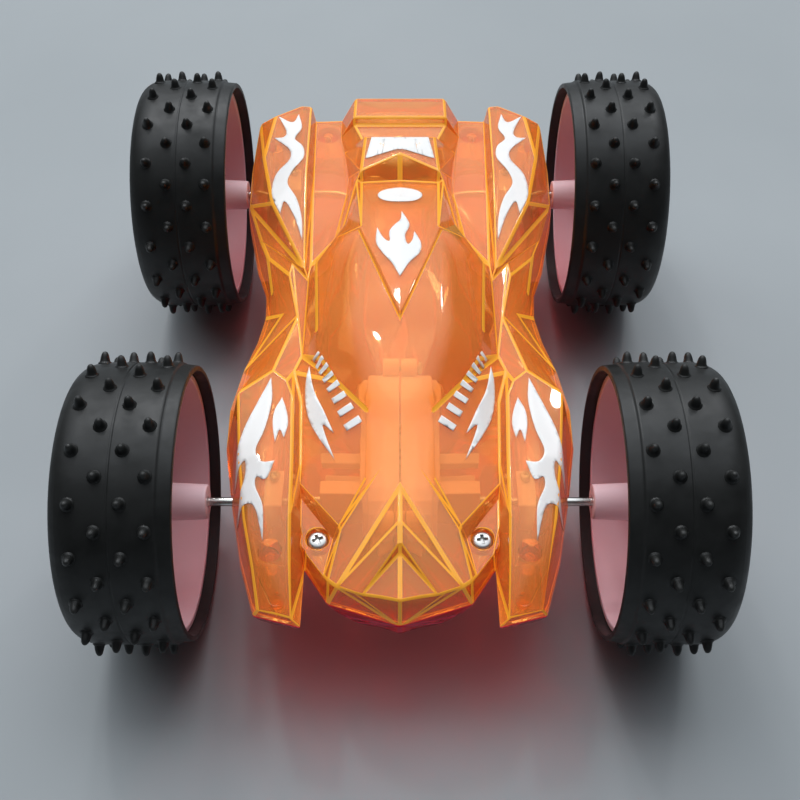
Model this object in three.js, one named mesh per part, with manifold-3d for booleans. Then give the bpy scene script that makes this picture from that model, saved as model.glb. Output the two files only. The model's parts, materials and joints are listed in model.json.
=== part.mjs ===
// A double-sided friction stunt car. Millimetres, +Z up, front towards -Y, origin on the ground
// under the middle of the car. Two clear shells meet at the height of the axles.
import * as THREE from "three";
import { mergeVertices } from "three/addons/utils/BufferGeometryUtils.js";
import Module from "manifold-3d";

const wasm = await Module();
wasm.setup();

// Driving dimensions
const TREAD_RADIUS = 32;
const SPIKE_HEIGHT = 2.53;
const SPIKE_RADIUS = 1.15;
const SPIKE_ROWS = 36;
const SPIKE_SIDES = 4;
const SPIKE_COLUMNS = [5.3, 10.3, 15.5, 20.7];
const WHEELBASE = 107.2;
const TYRE_INNER_EDGE = 46.1;
const AXLE_RADIUS = 1;
const AXLE_HALF_LENGTH = 66.4;
const GAP = 0.3;
const WALL = 1.4;
const MODULE = 0.6;
const GEAR_TEETH = 24;
const PINION_TEETH = 8;
const ADDENDUM = 0.52;
const DEDENDUM = 0.68;
const BACKLASH = 0.3;
const PIN_RADIUS = 0.8;
const GEARBOX_HALF_WIDTH = 8.9;
const GEARBOX_WALL = 1.4;
const FLYWHEEL_RADIUS = 12;
const BOSS_SIDES = 24;
const DRUM_RADIUS = FLYWHEEL_RADIUS + 2.2;
const NOSE_RADIUS = 9.4;
// Where the gears and the flywheel begin and end across the car.
const AXLE_GEAR = { from: 2.6, to: 5.0, hubRadius: 2.4, hubFrom: 1.8, hubTo: 5.6 };
const IDLER = { pinionFrom: 1.2, pinionTo: 6.8, wheelFrom: -0.6, wheelTo: 1.4 };
const IDLER_PIN_FROM = -0.8;
const FLYWHEEL_PINION = { from: -0.9, to: 1.8 };
const FLYWHEEL = { from: -6.9, to: -1.4, edge: 0.5, dish: 0.8, dishFrom: 4, dishTo: 11.2 };
// Tyre: bore, width of the tread and the rounded lip that folds over the rim's outer edge.
const TYRE = { bore: 30.1, lead: 1.8, treadEnd: 21.6, seatEnd: 23.9 };
const TYRE_LIP = [[24.8, 30.4], [25.9, 27.8], [25.6, 25.6], [24.6, 25.9], [24.6, 28.9]];
// Rim: barrel, web and boss. Its outer face and its inner hollow as [x, radius].
const BARREL_RADIUS = 29.8;
const RIM_FACE = [[23.2, 0], [23.2, 5.4], [19.9, 7.0], [19.9, 22.2], [24.3, 25.0], [24.3, 28.8]];
const RIM_HOLLOW = [[2.6, 28.3], [16.8, 28.0], [18.4, 26.0], [18.4, 5.2], [-2.1, 4.0]];
const EAR = { radius: 2.3, width: 4.0, head: 1.5, headHeight: 1.0, shank: 0.8 };
const SIDES = [[-1, "left"], [1, "right"]];

// Two rows of spikes share the load, so the axle is a little lower than the spikes are long.
const ROW_ANGLE = (2 * Math.PI) / SPIKE_ROWS;
const AXLE_Z = (TREAD_RADIUS + SPIKE_HEIGHT) * Math.cos(ROW_ANGLE / 2);
const FRONT_Y = -WHEELBASE / 2;
const REAR_Y = WHEELBASE / 2;
const GEAR_DISTANCE = (MODULE * (GEAR_TEETH + PINION_TEETH)) / 2;
const IDLER_Y = FRONT_Y + GEAR_DISTANCE;
const FLYWHEEL_Y = IDLER_Y + GEAR_DISTANCE;

// Places across and along the car, and how high the shell is there above the joint.
const FRONT_SCREW = { at: [18.0, -66.8], top: 5.1 };
const REAR_SCREW = { at: [21.3, 73.0], top: 7.0 };
const SCREW = { head: 2.4, headHeight: 1.3, shank: 1.1, boss: 3.8, sunk: 1.8, spare: 2.4 };
const FENDER_POST = { at: [28.0, -70.6], top: 6.9, radius: 2.6, bore: 0.9 };
const FENDER_PEG = { at: [26.2, -80.6], top: 3.2, radius: 1.7 };
const REAR_POST = { at: [35.8, 62.0], top: 9.2, radius: 1.8 };
const FRONT_BRACKET_X = 27.8;
const REAR_BRACKET_X = 30.6;

const paint = {
  orange: { color: 0xf79a2b, roughness: 0.12, metalness: 0, transparent: true, opacity: 0.6 },
  magenta: { color: 0xc0204f, roughness: 0.12, metalness: 0, transparent: true, opacity: 0.6 },
  pink: { color: 0xd9aab0, roughness: 0.45, metalness: 0 },
  black: { color: 0x1c1d1d, roughness: 0.75, metalness: 0 },
  steel: { color: 0xb9bcc0, roughness: 0.28, metalness: 1 },
  white: { color: 0xe6e4dc, roughness: 0.5, metalness: 0 },
};

const car = new THREE.Group();

// Helpers

function toSolid(geometry) {
  const bare = geometry.clone();
  for (const name of Object.keys(bare.attributes)) {
    if (name !== "position") bare.deleteAttribute(name);
  }
  const merged = mergeVertices(bare, 1e-4);
  const index = merged.index.array;
  const triangles = [];
  for (let i = 0; i < index.length; i += 3) {
    const [a, b, c] = [index[i], index[i + 1], index[i + 2]];
    if (a !== b && b !== c && c !== a) triangles.push(a, b, c);
  }
  const places = merged.attributes.position.array;
  if (signedVolume(places, triangles) < 0) triangles.reverse();
  const mesh = new wasm.Mesh({
    numProp: 3,
    vertProperties: new Float32Array(places),
    triVerts: new Uint32Array(triangles),
  });
  return new wasm.Manifold(mesh);
}

function signedVolume(places, triangles) {
  const at = (i) => new THREE.Vector3().fromArray(places, 3 * i);
  let sum = 0;
  for (let i = 0; i < triangles.length; i += 3) {
    const [a, b, c] = [at(triangles[i]), at(triangles[i + 1]), at(triangles[i + 2])];
    sum += a.dot(b.cross(c));
  }
  return sum;
}

function toGeometry(solid) {
  const mesh = solid.getMesh();
  const geometry = new THREE.BufferGeometry();
  geometry.setAttribute("position", new THREE.BufferAttribute(mesh.vertProperties, 3));
  geometry.setIndex(new THREE.BufferAttribute(mesh.triVerts, 1));
  return geometry;
}

function addPart(name, solid, material, parent = car) {
  const part = new THREE.Mesh(toGeometry(solid), new THREE.MeshStandardMaterial(paint[material]));
  part.name = name;
  parent.add(part);
  return part;
}

// Local X, Y and Z of an extrusion become Y, Z and X of the car.
const ACROSS = new THREE.Matrix4().makeBasis(
  new THREE.Vector3(0, 1, 0),
  new THREE.Vector3(0, 0, 1),
  new THREE.Vector3(1, 0, 0),
);
// A lathe's own axis is Y. It becomes X of the car.
const TURNED = new THREE.Matrix4().makeBasis(
  new THREE.Vector3(0, 0, 1),
  new THREE.Vector3(1, 0, 0),
  new THREE.Vector3(0, 1, 0),
);

function extrudeAcross(points, fromX, toX) {
  const shape = new THREE.Shape(points.map(([y, z]) => new THREE.Vector2(y, z)));
  const geometry = new THREE.ExtrudeGeometry(shape, { depth: toX - fromX, bevelEnabled: false });
  geometry.applyMatrix4(ACROSS);
  geometry.translate(fromX, 0, 0);
  return toSolid(geometry);
}

// A solid of revolution about X. The profile is a list of [x, radius].
function turnAcross(profile, segments) {
  const points = profile.map(([x, radius]) => new THREE.Vector2(radius, x));
  const geometry = new THREE.LatheGeometry(points, segments);
  geometry.applyMatrix4(TURNED);
  return toSolid(geometry);
}

function rodAcross(radius, fromX, toX, y, z, sides = 14) {
  return turnAcross([[fromX, 0], [fromX, radius], [toX, radius], [toX, 0]], sides).translate([0, y, z]);
}

function rodUp(radius, x, y, fromZ, toZ, sides = 14) {
  const geometry = new THREE.CylinderGeometry(radius, radius, toZ - fromZ, sides);
  geometry.rotateX(Math.PI / 2);
  geometry.translate(x, y, (fromZ + toZ) / 2);
  return toSolid(geometry);
}

function block(low, high) {
  const size = high.map((value, i) => value - low[i]);
  const geometry = new THREE.BoxGeometry(...size);
  geometry.translate(...low.map((value, i) => value + size[i] / 2));
  return toSolid(geometry);
}

// Body shell. Each named point is [x, y, height above the joint between the shells], for the
// right half. The lines join them into the creases of the moulding, and the faces lie between.
const POINTS = {
  // edge of the shell, from the nose round to the tail
  n0: [0, -85.3, 0], n1: [15.6, -80.1, 0], n2: [20.9, -71.8, 0], f0: [21.0, -85.6, 0],
  f1: [31.4, -82.8, 0], f2: [35.2, -70.5, 0], f3: [38.6, -54.5, 0], f4: [41.4, -38.5, 0],
  f5: [41.7, -27.4, 0], w1: [39.6, -14.8, 0], w2: [36.8, -5.0, 0], w3: [35.3, 4.0, 0],
  w4: [35.8, 12.0, 0], r1: [38.6, 20.5, 0], r2: [42.0, 37.0, 0], r3: [43.4, 46.5, 0],
  r4: [43.3, 62.0, 0], r5: [42.8, 76.5, 0], r6: [38.8, 82.6, 0], r7: [29.4, 85.3, 0],
  r8: [25.4, 82.6, 0], r9: [17.8, 82.6, 0], r10: [14.6, 85.3, 0], r11: [0, 85.3, 0],
  // front fender panel
  p0: [30.5, -23.2, 10.8], p1: [38.5, -29.6, 10.0], p2: [36.3, -49.2, 11.0], p3: [34.2, -63.6, 9.2],
  p4: [31.7, -74.4, 6.0], p5: [30.2, -82.6, 2.0], p6: [23.0, -84.5, 2.0], p7: [23.5, -74.4, 6.2],
  p8: [23.8, -63.6, 9.4], p9: [24.1, -49.2, 11.2], p10: [25.0, -32.0, 11.2], p11: [26.9, -26.6, 11.0],
  m1: [30.6, -49.2, 12.3], m2: [29.2, -63.6, 10.4], m3: [27.8, -74.4, 7.1], m4: [26.6, -83.6, 2.3],
  // foot of the fender's inner wall, and the deck beside the canopy
  d0: [25.6, -22.4, 9.2], d1: [23.5, -31.0, 8.6], d2: [22.7, -49.0, 7.8], d3: [22.4, -54.0, 7.6],
  d4: [21.9, -63.6, 5.1], d5: [20.4, -70.4, 5.0], d6: [22.2, -56.4, 5.3],
  // nose
  h0: [0, -58.4, 13.0], h1: [6.1, -56.6, 12.8], h2: [7.8, -55.2, 11.6], v0: [12.9, -67.0, 8.8],
  v1: [13.4, -65.0, 7.6], v2: [14.6, -67.0, 5.2], b0: [15.3, -77.6, 5.6], b1: [16.4, -75.9, 4.9],
  o0: [0, -67.1, 12.7], o1: [13.3, -79.2, 5.8], i0: [0, -71.2, 11.5], i1: [9.8, -80.8, 6.5],
  j0: [0, -73.0, 9.4], j1: [7.9, -81.4, 6.6], l0: [0, -83.2, 7.2], l1: [4.4, -82.0, 6.7],
  // canopy rim and crown
  c0: [0, -46.1, 15.6], c1: [7.5, -39.1, 15.3], c2: [14.9, -29.7, 14.4], c7: [19.0, -22.2, 13.9],
  c3: [20.4, -13.0, 13.8], c4: [21.6, 9.6, 14.6], c6: [15.7, 17.4, 16.6], c5: [10.6, 15.6, 20.6],
  q0: [0, -39.6, 17.6], q1: [6.5, -37.0, 17.8], q2: [11.0, -28.4, 18.4], q3: [13.6, -15.7, 19.4],
  q4: [13.7, 4.6, 19.6], t0: [0, -29.0, 20.8], t1: [6.6, -25.6, 20.8], t2: [9.6, -14.0, 21.4],
  t3: [11.0, 3.0, 20.9], t4: [0, -17.0, 22.2], k0: [0, -15.4, 23.0], k1: [9.9, 16.2, 21.4],
  k2: [0, 16.2, 22.0],
  // spine, raised panel and tail
  s0: [14.9, 22.4, 15.8], s1: [12.0, 42.6, 14.4], a0: [0, 44.4, 12.8], a1: [10.6, 42.8, 13.4],
  e0: [0, 50.2, 17.6], e1: [10.8, 44.8, 16.0], e2: [9.9, 60.2, 15.6], e3: [0, 60.2, 15.6],
  g0: [0, 62.2, 12.2], g1: [10.6, 62.2, 12.2], g2: [13.4, 70.4, 11.8], g3: [0, 70.4, 11.8],
  y0: [0, 71.8, 13.8], y1: [13.4, 71.8, 13.8], y2: [13.2, 81.0, 13.8], y3: [0, 81.0, 13.8],
  // rear deck
  u0: [17.4, 25.0, 8.4], u1: [14.9, 43.6, 7.6], u2: [14.6, 52.0, 7.4], u3: [16.0, 63.0, 7.4],
  u4: [17.4, 71.0, 7.0], u5: [17.4, 79.6, 6.8],
  // rear fender
  x0: [24.9, 12.6, 9.6], x1: [35.1, 37.2, 10.8], x2: [39.0, 57.5, 10.2], x3: [36.9, 77.0, 10.4],
  x4: [29.4, 81.4, 10.8], x5: [27.8, 48.0, 12.0], x6: [26.3, 80.8, 11.0], x7: [26.0, 48.0, 12.2],
  xa: [42.6, 44.5, 3.2], xb: [38.2, 29.5, 4.0], sa: [42.7, 57.0, 5.6], sb: [41.8, 77.0, 7.4],
  z0: [23.5, 15.4, 8.2], z1: [24.6, 48.0, 7.2], z2: [25.2, 79.2, 6.8],
  // waist
  ta: [35.8, 22.2, 5.0], tb: [28.4, 17.0, 7.6], tc: [33.8, 9.6, 3.6], st: [28.9, 12.4, 7.9],
  sl: [30.4, 0.4, 5.2], sr: [26.0, -2.0, 7.4], ka: [34.4, -16.8, 6.0], ya: [23.9, 10.2, 8.2],
  yb: [24.0, -16.6, 8.4],
};
const LINES = [
  "n0 n1 n2 f0 f1 f2 f3 f4 f5 w1 w2 w3 w4 r1 r2 r3 r4 r5 r6 r7 r8 r9 r10 r11",
  "n0 l0 j0 i0 o0 h0 c0 q0 t0 t4 k0 k2 a0 e0 e3 g0 g3 y0 y3 r11",
  "p0 p1 p2 p3 p4 p5 m4 p6 p7 p8 p9 p10 p11 p0", "p0 m1 m2 m3 m4", "p2 m1 p9", "p3 m2 p8", "p4 m3 p7",
  "p1 f4", "p2 f3", "p4 f2", "p5 f1", "p6 f0", "p7 n2", "p11 d0 d1 d2 d3 d6 d4 d5 n2", "p10 d1", "p9 d2",
  "p8 d4", "l0 l1 j1 i1 o1 b0 n1", "j0 j1", "i0 i1", "o0 o1", "h0 b0", "d5 b1 b0", "b1 v2 d6",
  "h0 h1 v0 b0", "v0 v2", "c0 h1 h2 v1 v0", "h2 c1", "v1 d3", "v1 v2", "v1 c1", "d3 c1",
  "c0 c1 c2 c7 c3 c4 c6 c5", "q0 q1 q2 q3 q4 c5", "c0 q0", "c1 q1", "c2 q2", "c3 q3", "c7 q2", "c4 q4",
  "t0 t1 t2 t3 c5 t4", "q1 t1", "q2 t2", "q3 t2", "q4 t3", "t2 t4", "d2 c2 d1", "d0 yb c3", "c2 yb c7",
  "yb ya c4", "k0 k1 a1 a0", "k1 k2", "t1 q2", "c5 k1 s0 c6", "s0 s1 a1", "a1 e1 e0", "e1 e2 e3",
  "e2 g1 g0", "g1 g2 g3",
  "g2 y1 y0", "y1 y2 y3", "y2 r10", "s1 u1", "s0 u0 c4", "u0 u1 u2 u3 u4 u5 r9", "e1 u2", "e2 u3",
  "g2 u4", "y2 u5", "g1 u3", "x0 x1 x2 x3 x4 x5 x0", "x4 x6 x7 x0", "x5 x7", "x0 z0 z1 z2 r8", "x7 z1",
  "x6 z2", "x4 r7", "x3 sb r5", "x2 sa r4", "u5 z2", "u0 z0 ya", "u1 z1", "x1 xa r3", "xa sa sb r6",
  "xa xb ta tb x0", "xb r2", "ta r1", "ta tc st tb", "tc w4", "tc sl sr st sl", "sl w3", "sr ka p1",
  "sr p0", "ka w1", "sr yb", "tb ya", "p0 d0 sr", "ya sr",
];

// Faces of a plane drawing, each a loop of point names, found by turning at every point.
function traceFaces(points, lines) {
  const near = new Map(Object.keys(points).map((name) => [name, new Set()]));
  for (const line of lines) {
    const names = line.split(" ");
    for (let i = 1; i < names.length; i++) {
      near.get(names[i - 1]).add(names[i]);
      near.get(names[i]).add(names[i - 1]);
    }
  }
  const bearing = (from, to) => Math.atan2(points[to][1] - points[from][1], points[to][0] - points[from][0]);
  const ring = new Map();
  for (const [name, others] of near) {
    ring.set(name, [...others].sort((one, two) => bearing(name, one) - bearing(name, two)));
  }
  const next = (from, to) => {
    const around = ring.get(to);
    return around[(around.indexOf(from) - 1 + around.length) % around.length];
  };
  const seen = new Set();
  const faces = [];
  for (const [start, others] of ring) {
    for (const second of others) {
      const loop = [];
      let [from, to] = [start, second];
      while (!seen.has(`${from} ${to}`)) {
        seen.add(`${from} ${to}`);
        loop.push(from);
        [from, to] = [to, next(from, to)];
      }
      if (loop.length > 2 && plainArea(loop.map((name) => points[name])) > 0) faces.push(loop);
    }
  }
  return faces;
}

function plainArea(loop) {
  let sum = 0;
  loop.forEach(([x, y], i) => {
    const [nextX, nextY] = loop[(i + 1) % loop.length];
    sum += (x * nextY - nextX * y) / 2;
  });
  return sum;
}

// The outer skin of one shell: both halves as triangles that share their points.
function skin() {
  const places = [];
  const number = new Map();
  const vertex = (name, side) => {
    const [x, y, height] = POINTS[name];
    const key = x === 0 ? name : `${name} ${side}`;
    if (!number.has(key)) {
      number.set(key, places.length);
      places.push(new THREE.Vector3(side * x, y, height));
    }
    return number.get(key);
  };
  const triangles = [];
  for (const loop of traceFaces(POINTS, LINES)) {
    const outline = loop.map((name) => new THREE.Vector2(...POINTS[name]));
    for (const [a, b, c] of THREE.ShapeUtils.triangulateShape(outline, [])) {
      triangles.push([vertex(loop[a], 1), vertex(loop[b], 1), vertex(loop[c], 1)]);
      triangles.push([vertex(loop[a], -1), vertex(loop[c], -1), vertex(loop[b], -1)]);
    }
  }
  return { places, triangles };
}

// Moves every point inwards so that each face moves by the wall. On the edge it stays level.
function inset(places, triangles, wall) {
  const facing = places.map(() => []);
  for (const corners of triangles) {
    const [a, b, c] = corners.map((i) => places[i]);
    const normal = b.clone().sub(a).cross(c.clone().sub(a)).normalize();
    corners.forEach((i) => {
      const known = facing[i].some((other) => other.dot(normal) > 0.995);
      if (!known) facing[i].push(normal);
    });
  }
  return places.map((place, i) => place.clone().add(solveMove(facing[i], wall, place.z === 0)));
}

function solveMove(normals, wall, level) {
  const keep = 0.02;
  const m = new THREE.Matrix3().set(keep, 0, 0, 0, keep, 0, 0, 0, keep);
  const pull = new THREE.Vector3();
  for (const normal of normals) {
    const n = level ? new THREE.Vector3(normal.x, normal.y, 0) : normal;
    const e = m.elements;
    const v = [n.x, n.y, n.z];
    for (let row = 0; row < 3; row++) {
      for (let column = 0; column < 3; column++) e[3 * column + row] += v[row] * v[column];
    }
    pull.addScaledVector(n, -wall);
  }
  return pull.applyMatrix3(m.invert());
}

function bareShell() {
  const { places, triangles } = skin();
  const inner = inset(places, triangles, WALL);
  const count = places.length;
  const all = [...places, ...inner].flatMap((place) => place.toArray());
  const index = triangles.flat();
  for (const [a, b, c] of triangles) index.push(a + count, c + count, b + count);
  const used = new Set(triangles.flatMap(([a, b, c]) => [`${a} ${b}`, `${b} ${c}`, `${c} ${a}`]));
  for (const edge of used) {
    const [a, b] = edge.split(" ").map(Number);
    if (!used.has(`${b} ${a}`)) index.push(b, a, a + count, b, a + count, b + count);
  }
  const geometry = new THREE.BufferGeometry();
  geometry.setAttribute("position", new THREE.Float32BufferAttribute(all, 3));
  geometry.setIndex(index);
  return toSolid(geometry);
}

function bothSides(radius, { at: [x, y] }, fromZ, toZ) {
  const one = rodUp(radius, x, y, fromZ, toZ, BOSS_SIDES);
  return one.add(rodUp(radius, -x, y, fromZ, toZ, BOSS_SIDES));
}

// One shell with its joint at height 0. It takes its own screws' heads in sunk bosses, and the
// other shell's screws in blind ones.
function shell(sunk, blind) {
  const start = 0.05;
  const below = -1;
  const far = 8;
  const hole = SCREW.shank + GAP;
  const notch = AXLE_RADIUS + 2 * GAP;
  const reach = 50;
  return bareShell()
    .add(bothSides(SCREW.boss, sunk, start, sunk.top - 0.4))
    .add(bothSides(SCREW.boss, blind, start, blind.top - 0.8))
    .add(bothSides(FENDER_POST.radius, FENDER_POST, start, FENDER_POST.top))
    .add(bothSides(FENDER_PEG.radius, FENDER_PEG, start, FENDER_PEG.top))
    .add(bothSides(REAR_POST.radius, REAR_POST, start, REAR_POST.top))
    .subtract(bothSides(SCREW.head + GAP, sunk, sunk.top - SCREW.sunk, far + sunk.top))
    .subtract(bothSides(hole, sunk, below, sunk.top))
    .subtract(bothSides(hole, blind, below, blind.top - SCREW.spare + GAP))
    .subtract(bothSides(FENDER_POST.bore, FENDER_POST, below, FENDER_POST.top / 2))
    .subtract(rodAcross(notch, -reach, reach, FRONT_Y, 0))
    .subtract(rodAcross(notch, -reach, reach, REAR_Y, 0));
}

function addShells() {
  const upper = addPart("upper_shell", shell(FRONT_SCREW, REAR_SCREW), "orange");
  upper.position.z = AXLE_Z + GAP / 2;
  const turnedOver = shell(REAR_SCREW, FRONT_SCREW).mirror([0, 0, 1]);
  addPart("lower_shell", turnedOver, "magenta").position.z = AXLE_Z - GAP / 2;
}

// A cross-head screw along Z with its head's underside at height 0.
function crossScrew(headRadius, headHeight, shankRadius, length) {
  const halfSlot = 0.17 * headRadius;
  const reach = 0.6 * headRadius;
  const floor = 0.35 * headHeight;
  const above = 2 * headHeight;
  const rounded = [
    [0, 0], [headRadius, 0], [headRadius, 0.5 * headHeight], [0.75 * headRadius, headHeight],
    [0, headHeight],
  ];
  const head = new THREE.LatheGeometry(rounded.map(([x, y]) => new THREE.Vector2(x, y)), 12);
  head.rotateX(Math.PI / 2);
  return toSolid(head)
    .add(rodUp(shankRadius, 0, 0, -length, floor / 2, 8))
    .subtract(block([-reach, -halfSlot, floor], [reach, halfSlot, above]))
    .subtract(block([-halfSlot, -reach, floor], [halfSlot, reach, above]));
}

function addShellScrews() {
  for (const { name, place, up } of [
    { name: "shell_screw_front", place: FRONT_SCREW, up: 1 },
    { name: "shell_screw_rear", place: REAR_SCREW, up: -1 },
  ]) {
    const seat = place.top - SCREW.sunk + 1.5 * GAP;
    const length = seat + place.top - SCREW.spare;
    const screw = crossScrew(SCREW.head, SCREW.headHeight, SCREW.shank, length);
    for (const [side, label] of SIDES) {
      const part = addPart(`${name}_${label}`, screw, "steel");
      part.position.set(side * place.at[0], place.at[1], AXLE_Z + up * seat);
      part.rotation.x = up > 0 ? 0 : Math.PI;
    }
  }
}

// Gears

// Involute outline as [y, z] points round the origin, with a tooth on the +Y side plus a turn.
function gearOutline(teeth, turn) {
  const pressure = THREE.MathUtils.degToRad(20);
  const involute = (angle) => Math.tan(angle) - angle;
  const pitch = (MODULE * teeth) / 2;
  const base = pitch * Math.cos(pressure);
  const half = Math.PI / (2 * teeth) - BACKLASH / (4 * pitch) + involute(pressure);
  const halfAt = (r) => (r > base ? half - involute(Math.acos(base / r)) : half);
  const tip = pitch + ADDENDUM;
  const root = pitch - DEDENDUM;
  const radii = [root, pitch, tip];
  const points = [];
  for (let tooth = 0; tooth < teeth; tooth++) {
    const middle = turn + (2 * Math.PI * tooth) / teeth;
    const flank = (r, side) => {
      const angle = middle + side * halfAt(r);
      points.push([r * Math.cos(angle), r * Math.sin(angle)]);
    };
    radii.forEach((r) => flank(r, -1));
    [...radii].reverse().forEach((r) => flank(r, 1));
  }
  return points;
}

function gear(teeth, turn, fromX, toX) {
  return extrudeAcross(gearOutline(teeth, turn), fromX, toX);
}

function addGears() {
  const gap = Math.PI / PINION_TEETH;
  const through = GEARBOX_HALF_WIDTH;
  const axleGear = gear(GEAR_TEETH, 0, AXLE_GEAR.from, AXLE_GEAR.to)
    .add(rodAcross(AXLE_GEAR.hubRadius, AXLE_GEAR.hubFrom, AXLE_GEAR.hubTo, 0, 0))
    .subtract(rodAcross(AXLE_RADIUS + GAP, 0, through, 0, 0));
  addPart("axle_gear", axleGear, "white").position.set(0, FRONT_Y, AXLE_Z);

  const idler = gear(PINION_TEETH, gap, IDLER.pinionFrom, IDLER.pinionTo)
    .add(gear(GEAR_TEETH, 0, IDLER.wheelFrom, IDLER.wheelTo))
    .subtract(rodAcross(PIN_RADIUS + GAP, -through, through, 0, 0, 12));
  addPart("idler_gear", idler, "white").position.set(0, IDLER_Y, AXLE_Z);
  const pin = rodAcross(PIN_RADIUS, IDLER_PIN_FROM, GEARBOX_HALF_WIDTH, 0, 0, 12);
  addPart("idler_pin", pin, "steel").position.set(0, IDLER_Y, AXLE_Z);

  const shaftEnd = GEARBOX_HALF_WIDTH - GAP;
  const pinion = gear(PINION_TEETH, gap, FLYWHEEL_PINION.from, FLYWHEEL_PINION.to)
    .add(rodAcross(PIN_RADIUS, -shaftEnd, shaftEnd, 0, 0, 12));
  addPart("flywheel_pinion", pinion, "white").position.set(0, FLYWHEEL_Y, AXLE_Z);
  const { from, to, edge, dish, dishFrom, dishTo } = FLYWHEEL;
  const bore = PIN_RADIUS + GAP;
  const flywheel = turnAcross(
    [
      [from, bore], [from, dishFrom], [from + dish, dishFrom + dish + 0.2], [from + dish, dishTo - dish],
      [from, dishTo], [from, FLYWHEEL_RADIUS - edge], [from + edge, FLYWHEEL_RADIUS],
      [to - edge, FLYWHEEL_RADIUS], [to, FLYWHEEL_RADIUS - edge], [to, bore], [from, bore],
    ],
    32,
  );
  addPart("flywheel", flywheel, "steel").position.set(0, FLYWHEEL_Y, AXLE_Z);
}

// Gearbox

// Side view of the box: a drum round the flywheel that narrows to a nose round the axle gear.
function gearboxOutline(inwards) {
  const drum = DRUM_RADIUS - inwards;
  const nose = NOSE_RADIUS - inwards;
  const span = FLYWHEEL_Y - FRONT_Y;
  const touch = Math.acos((drum - nose) / span);
  const points = [];
  const arc = (centre, radius, from, to, steps) => {
    for (let i = 0; i <= steps; i++) {
      const angle = from + ((to - from) * i) / steps;
      points.push([centre - radius * Math.cos(angle), radius * Math.sin(angle)]);
    }
  };
  arc(FLYWHEEL_Y, drum, touch, 2 * Math.PI - touch, 18);
  arc(FRONT_Y, nose, -touch, touch, 8);
  return points;
}

// Screw places in the side view: two behind the drum and two ahead of the nose.
function gearboxEars() {
  const drumEar = (DRUM_RADIUS + 1.8) * Math.SQRT1_2;
  const noseEar = NOSE_RADIUS + 1.8;
  const slope = THREE.MathUtils.degToRad(30);
  const nose = [FRONT_Y - noseEar * Math.cos(slope), noseEar * Math.sin(slope)];
  const drum = [FLYWHEEL_Y + drumEar, drumEar];
  return [nose, drum].flatMap(([y, z]) => [[y, z], [y, -z]]);
}

// The right half of the box, with the joint plane at x = 0 and the axles at z = 0.
function gearboxHalf(pinSide) {
  const start = GAP / 2;
  const side = GEARBOX_HALF_WIDTH;
  const inner = side - GEARBOX_WALL;
  const step = 1.1;
  const armEnd = 18;
  const arm = { y: 1.8, z: 5.4 };
  const stay = { from: IDLER_Y - 3.2, to: IDLER_Y - 0.2, low: 3.4, high: 5.6 };
  let half = extrudeAcross(gearboxOutline(0), start, inner)
    .add(extrudeAcross(gearboxOutline(step), start, side))
    .add(block([side - 1, FRONT_Y - arm.y, -arm.z], [armEnd, FRONT_Y + arm.y, arm.z]))
    .add(block([side - 1, stay.from, stay.low], [armEnd, stay.to, stay.high]))
    .add(block([side - 1, stay.from, -stay.high], [armEnd, stay.to, -stay.low]));
  for (const [y, z] of gearboxEars()) half = half.add(rodAcross(EAR.radius, start, EAR.width, y, z));
  half = half
    .subtract(extrudeAcross(gearboxOutline(GEARBOX_WALL), -1, inner))
    .subtract(rodAcross(AXLE_RADIUS + GAP, -1, armEnd + 1, FRONT_Y, 0, 16))
    .subtract(rodAcross(PIN_RADIUS + GAP, -1, side + 1, FLYWHEEL_Y, 0, 12));
  if (pinSide) half = half.subtract(rodAcross(PIN_RADIUS + GAP, -1, side + 1, IDLER_Y, 0, 12));
  const depth = pinSide ? EAR.width + 1 : EAR.width - 1;
  for (const [y, z] of gearboxEars()) half = half.subtract(rodAcross(EAR.shank + GAP, -1, depth, y, z, 12));
  return half;
}

function addGearbox() {
  addPart("gearbox_right", gearboxHalf(true), "pink").position.z = AXLE_Z;
  addPart("gearbox_left", gearboxHalf(false).mirror([1, 0, 0]), "pink").position.z = AXLE_Z;
  const screw = crossScrew(EAR.head, EAR.headHeight, EAR.shank, 2 * EAR.width - 1 - GAP);
  gearboxEars().forEach(([y, z], i) => {
    const part = addPart(`gearbox_screw_${i + 1}`, screw, "steel");
    part.rotation.y = Math.PI / 2;
    part.position.set(EAR.width + GAP, y, AXLE_Z + z);
  });
}

// Blocks in which the axles turn, each with a screw from above.
function addBrackets() {
  const half = { x: 2.9, y: 4.8, z: 5.0 };
  const screwY = 2.9;
  const depth = 4.2;
  const body = block([-half.x, -half.y, -half.z], [half.x, half.y, half.z])
    .subtract(rodAcross(AXLE_RADIUS + GAP, -2 * half.x, 2 * half.x, 0, 0, 16))
    .subtract(rodUp(EAR.shank + GAP, 0, screwY, half.z - depth, half.z + 1, 12));
  const screw = crossScrew(EAR.head, EAR.headHeight, EAR.shank, depth - 2 * GAP);
  for (const [end, x, y] of [["front", FRONT_BRACKET_X, FRONT_Y], ["rear", REAR_BRACKET_X, REAR_Y]]) {
    for (const [side, label] of SIDES) {
      addPart(`${end}_bracket_${label}`, body, "pink").position.set(side * x, y, AXLE_Z);
      const part = addPart(`${end}_bracket_screw_${label}`, screw, "steel");
      part.position.set(side * x, y + screwY, AXLE_Z + half.z + GAP);
    }
  }
}

// Wheels, drawn for the right side with x = 0 at the tyre's inner edge.

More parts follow.
